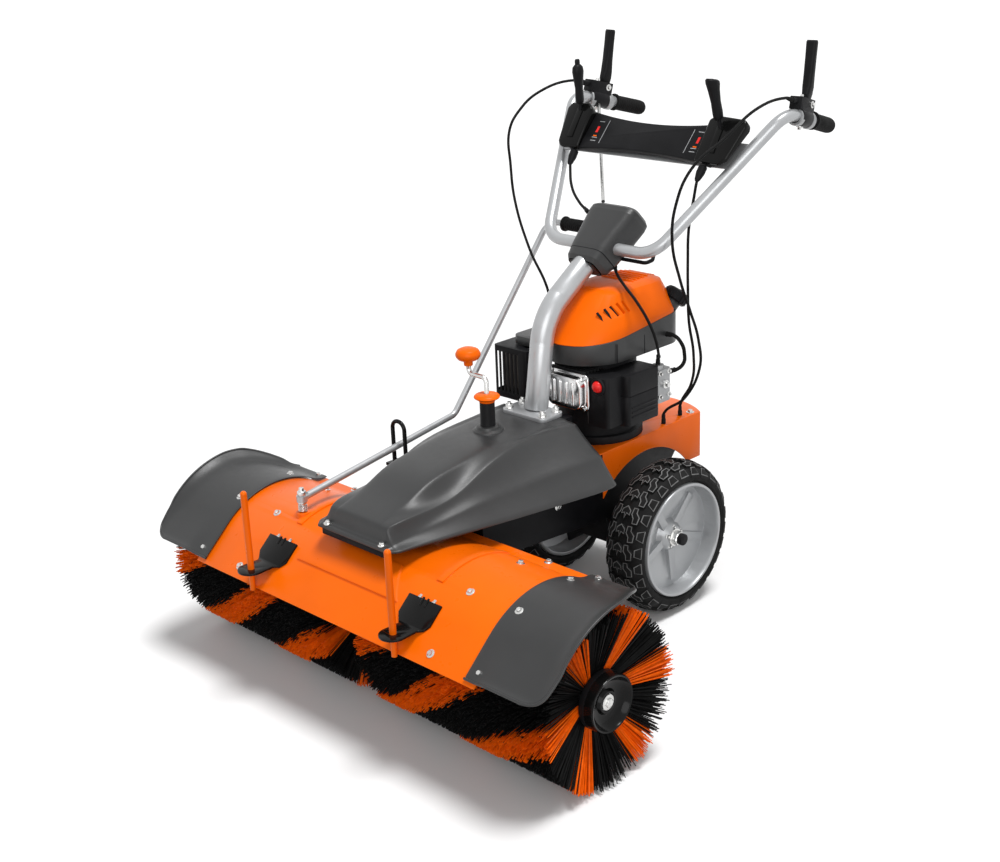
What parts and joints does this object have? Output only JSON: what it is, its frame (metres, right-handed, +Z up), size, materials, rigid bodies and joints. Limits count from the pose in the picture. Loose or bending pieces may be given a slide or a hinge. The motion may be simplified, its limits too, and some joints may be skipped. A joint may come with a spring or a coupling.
{
  "type": "walk-behind power brush sweeper",
  "caption": "Walk-behind petrol power brush sweeper: wide roller brush under a swivelling hood, belt cover, engine on a two-wheel deck, tall handlebar with hand levers.",
  "frame": {"origin": "centre of the bounding box at ground level, under the middle of the machine", "axes": "+Z up, -Y forward (the brush leads), +X to the machine's side that carries the air filter"},
  "size_m": [1.088, 1.2653, 1.1645],
  "materials": {
    "orange_paint": "gloss",
    "orange_plastic": "gloss",
    "orange_bristle": "matte",
    "black_bristle": "matte",
    "grey_plastic": "satin",
    "black_paint": "satin",
    "black_plastic": "satin",
    "rubber": "matte",
    "red_rubber": "gloss",
    "silver_paint": "satin",
    "bright_steel": "polished",
    "chrome": "polished",
    "cast_metal": "matte",
    "muffler_steel": "matte",
    "die_cast": "matte",
    "tyre": "matte",
    "rim_paint": "satin"
  },
  "bodies": {
    "chassis": {"frame": "black_paint", "transmission": "cast_metal", "deck": "orange_paint", "belt_cover": "grey_plastic", "column": "silver_paint", "column_bolts": "bright_steel", "console": "grey_plastic", "engine_block": "cast_metal", "engine_cowl": "grey_plastic", "engine_cover": "orange_plastic", "valve_cover": "chrome", "muffler": "muffler_steel", "muffler_guard": "black_paint", "air_filter_box": "black_plastic", "carburettor": "die_cast", "fuel_hose": "rubber", "drive_belt": "rubber", "guide_loop": "black_paint", "crank_sleeve": "black_plastic", "sleeve_cap": "orange_plastic", "cable_clutch_left": "rubber", "cable_clutch_right": "rubber", "cable_shift_left": "rubber", "cable_shift_right": "rubber", "cable_throttle": "rubber"},
    "handlebar": {"handlebar": "silver_paint", "grips": "rubber", "lever_brackets": "black_plastic", "dash_panel": "black_plastic", "shift_boots": "black_plastic", "shift_rod": "bright_steel"},
    "lever_left": {"lever_left": "black_plastic"},
    "lever_right": {"lever_right": "black_plastic"},
    "shift_lever_left": {"shift_lever_left": "black_plastic"},
    "shift_lever_right": {"shift_lever_right": "black_plastic"},
    "latch": {"latch_loop": "black_paint"},
    "primer": {"primer_bulb": "red_rubber"},
    "fuel_cap": {"fuel_cap": "black_plastic"},
    "crank": {"crank": "bright_steel"},
    "crank_knob": {"crank_knob": "orange_plastic"},
    "steering": {"steering_rod": "silver_paint", "steering_grip": "black_plastic"},
    "drive_pulley": {"drive_pulley": "die_cast"},
    "brush_pulley": {"brush_pulley": "die_cast"},
    "wheel_left": {"tyre_left": "tyre", "rim_left": "rim_paint"},
    "wheel_right": {"tyre_right": "tyre", "rim_right": "rim_paint"},
    "head": {"hood": "orange_paint", "end_guards": "grey_plastic", "marker_brackets": "black_paint", "marker_rods": "orange_paint", "head_gearbox": "black_paint", "ball_stud": "bright_steel", "stud_spring": "bright_steel"},
    "brush": {"brush_shaft": "bright_steel", "brush_core": "black_plastic", "bristles_black": "black_bristle", "bristles_orange": "orange_bristle"}
  },
  "joints": [
    {"name": "head_swivel", "type": "hinge", "parent": "chassis", "child": "head", "pos_m": [0, -0.406, 0.346], "axis": [0, 0, 1], "range_deg": [-12, 12]},
    {"name": "steering_rod_pivot", "type": "hinge", "parent": "head", "child": "steering", "pos_m": [-0.215, -0.464, 0.366], "axis": [0, 0, 1], "range_deg": [-10.5, 10.5]},
    {"name": "brush_spin", "type": "hinge", "parent": "head", "child": "brush", "pos_m": [0, -0.406, 0.166], "axis": [1, 0, 0], "continuous": true},
    {"name": "brush_pulley_spin", "type": "hinge", "parent": "head", "child": "brush_pulley", "pos_m": [0, -0.406, 0.366], "axis": [0, 0, 1], "continuous": true},
    {"name": "drive_pulley_spin", "type": "hinge", "parent": "chassis", "child": "drive_pulley", "pos_m": [0, 0.165, 0.366], "axis": [0, 0, 1], "continuous": true},
    {"name": "wheel_left_spin", "type": "hinge", "parent": "chassis", "child": "wheel_left", "pos_m": [-0.16, 0.205, 0.166], "axis": [1, 0, 0], "continuous": true},
    {"name": "wheel_right_spin", "type": "hinge", "parent": "chassis", "child": "wheel_right", "pos_m": [0.16, 0.205, 0.166], "axis": [1, 0, 0], "continuous": true},
    {"name": "handle_tilt", "type": "hinge", "parent": "chassis", "child": "handlebar", "pos_m": [0, 0.181, 0.775], "axis": [1, 0, 0], "range_deg": [-8, 8], "deforming": ["cable_clutch_left", "cable_clutch_right", "cable_shift_left", "cable_shift_right"]},
    {"name": "lever_left_squeeze", "type": "hinge", "parent": "handlebar", "child": "lever_left", "pos_m": [-0.26843, 0.51648, 1.03876], "axis": [-0.99, 0.1407, 0], "range_deg": [0, 86], "stiffness_Nm_per_rad": 0.8},
    {"name": "lever_right_squeeze", "type": "hinge", "parent": "handlebar", "child": "lever_right", "pos_m": [0.26843, 0.51648, 1.03876], "axis": [-0.99, -0.1407, 0], "range_deg": [0, 86], "stiffness_Nm_per_rad": 0.8},
    {"name": "shift_lever_left_throw", "type": "hinge", "parent": "handlebar", "child": "shift_lever_left", "pos_m": [-0.188, 0.34553, 0.98013], "axis": [1, 0, 0], "range_deg": [-4, 34]},
    {"name": "shift_lever_right_throw", "type": "hinge", "parent": "handlebar", "child": "shift_lever_right", "pos_m": [0.188, 0.34553, 0.98013], "axis": [1, 0, 0], "range_deg": [-16, 22]},
    {"name": "latch_turn", "type": "hinge", "parent": "chassis", "child": "latch", "pos_m": [0.08, 0.196, 0.752], "axis": [1, 0, 0], "range_deg": [-35, 10]},
    {"name": "primer_press", "type": "slide", "parent": "chassis", "child": "primer", "axis": [0, 1, 0], "range_m": [0, 0.005], "stiffness_N_per_m": 800},
    {"name": "fuel_cap_turn", "type": "hinge", "parent": "chassis", "child": "fuel_cap", "pos_m": [0.09151, 0.31868, 0.65333], "axis": [0.2507, 0.6217, 0.742], "range_deg": [0, 90]},
    {"name": "crank_turn", "type": "hinge", "parent": "chassis", "child": "crank", "pos_m": [0, -0.157, 0.529], "axis": [0, 0, 1], "continuous": true},
    {"name": "crank_knob_spin", "type": "hinge", "parent": "crank", "child": "crank_knob", "pos_m": [-0.048, -0.157, 0.606], "axis": [0, 0, 1], "continuous": true}
  ],
  "couplings": [
    {"joint": "steering_rod_pivot", "follows": "head_swivel", "ratio": -0.8215},
    {"joint": "brush_pulley_spin", "follows": "brush_spin", "ratio": 6},
    {"joint": "drive_pulley_spin", "follows": "brush_spin", "ratio": 6}
  ]
}
